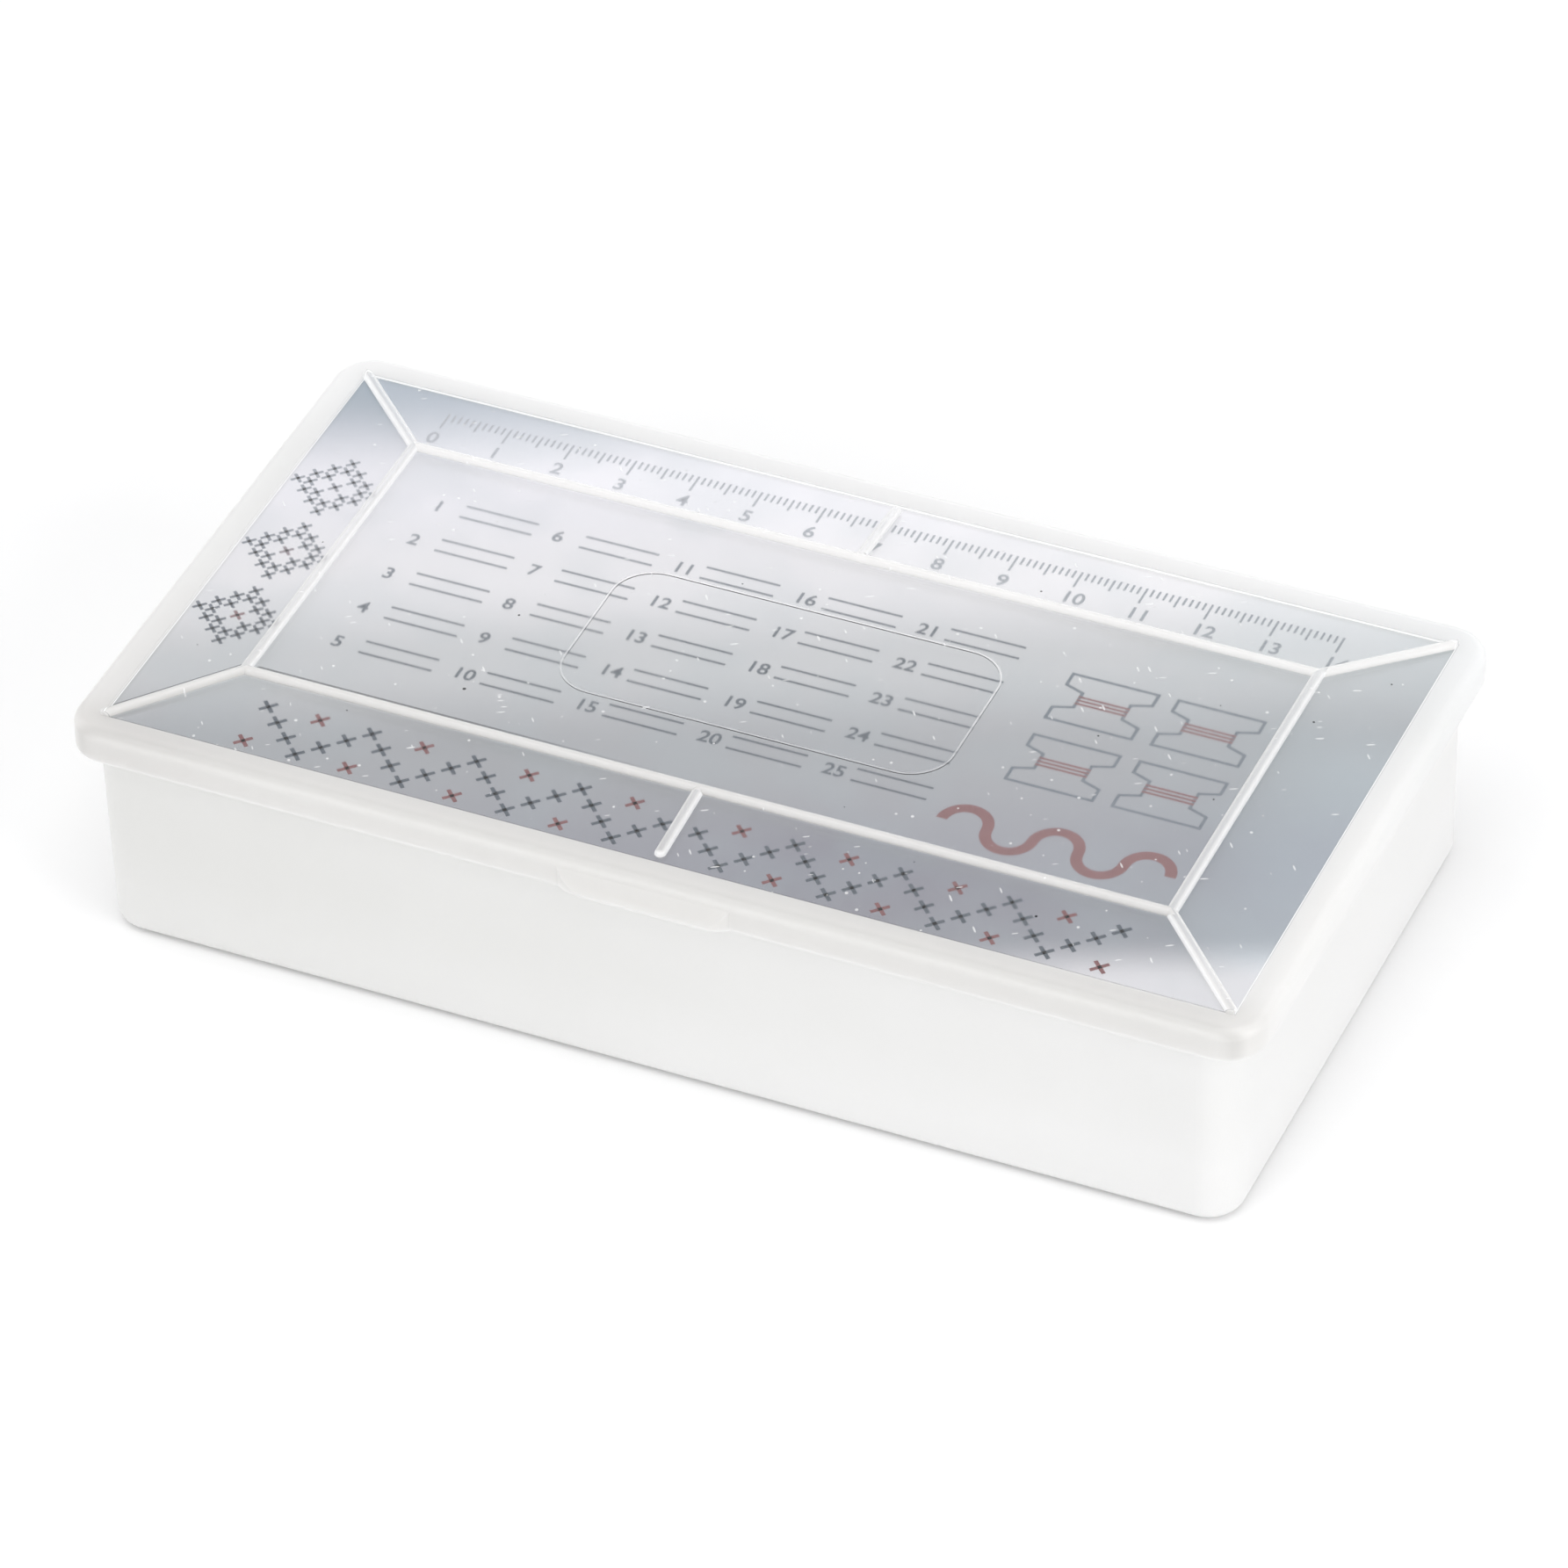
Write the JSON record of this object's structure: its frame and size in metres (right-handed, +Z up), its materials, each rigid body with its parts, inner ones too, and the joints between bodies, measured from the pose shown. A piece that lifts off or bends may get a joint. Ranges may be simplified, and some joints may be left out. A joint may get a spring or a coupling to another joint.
{
  "type": "bobbin box",
  "caption": "Flat storage box with a hinged see-through lid stiffened by ribs, a printed card under it, compartments in a milky tray and a row of flat floss bobbins.",
  "frame": {"origin": "middle of the tray's flat underside", "axes": "+X along the box, +Y towards the hinge, +Z up"},
  "size_m": [0.18, 0.0988, 0.0394],
  "materials": {
    "milky_plastic": "milky natural polypropylene, finely frosted",
    "clear_plastic": "see-through polypropylene, polished panel with a frosted rim and bright ribs",
    "printed_card": "coated card, printed grey",
    "bobbin_plastic": "white plastic sheet, satin"
  },
  "bodies": {
    "tray": {"base_tray": "milky_plastic", "bobbin_01": "bobbin_plastic", "bobbin_02": "bobbin_plastic", "bobbin_03": "bobbin_plastic", "bobbin_04": "bobbin_plastic", "bobbin_05": "bobbin_plastic", "bobbin_06": "bobbin_plastic", "bobbin_07": "bobbin_plastic", "bobbin_08": "bobbin_plastic", "bobbin_09": "bobbin_plastic", "bobbin_10": "bobbin_plastic", "bobbin_11": "bobbin_plastic", "bobbin_12": "bobbin_plastic", "bobbin_13": "bobbin_plastic", "bobbin_14": "bobbin_plastic", "bobbin_15": "bobbin_plastic", "bobbin_16": "bobbin_plastic", "bobbin_17": "bobbin_plastic", "bobbin_18": "bobbin_plastic", "bobbin_19": "bobbin_plastic", "bobbin_20": "bobbin_plastic", "bobbin_21": "bobbin_plastic", "bobbin_22": "bobbin_plastic", "bobbin_23": "bobbin_plastic", "bobbin_24": "bobbin_plastic", "bobbin_25": "bobbin_plastic"},
    "lid": {"lid": "clear_plastic", "card_insert": "printed_card"}
  },
  "joints": [
    {"name": "lid_hinge", "type": "hinge", "parent": "tray", "child": "lid", "pos_m": [0, 0.0482, 0.0303], "axis": [-1, 0, 0], "range_deg": [0, 110]}
  ]
}
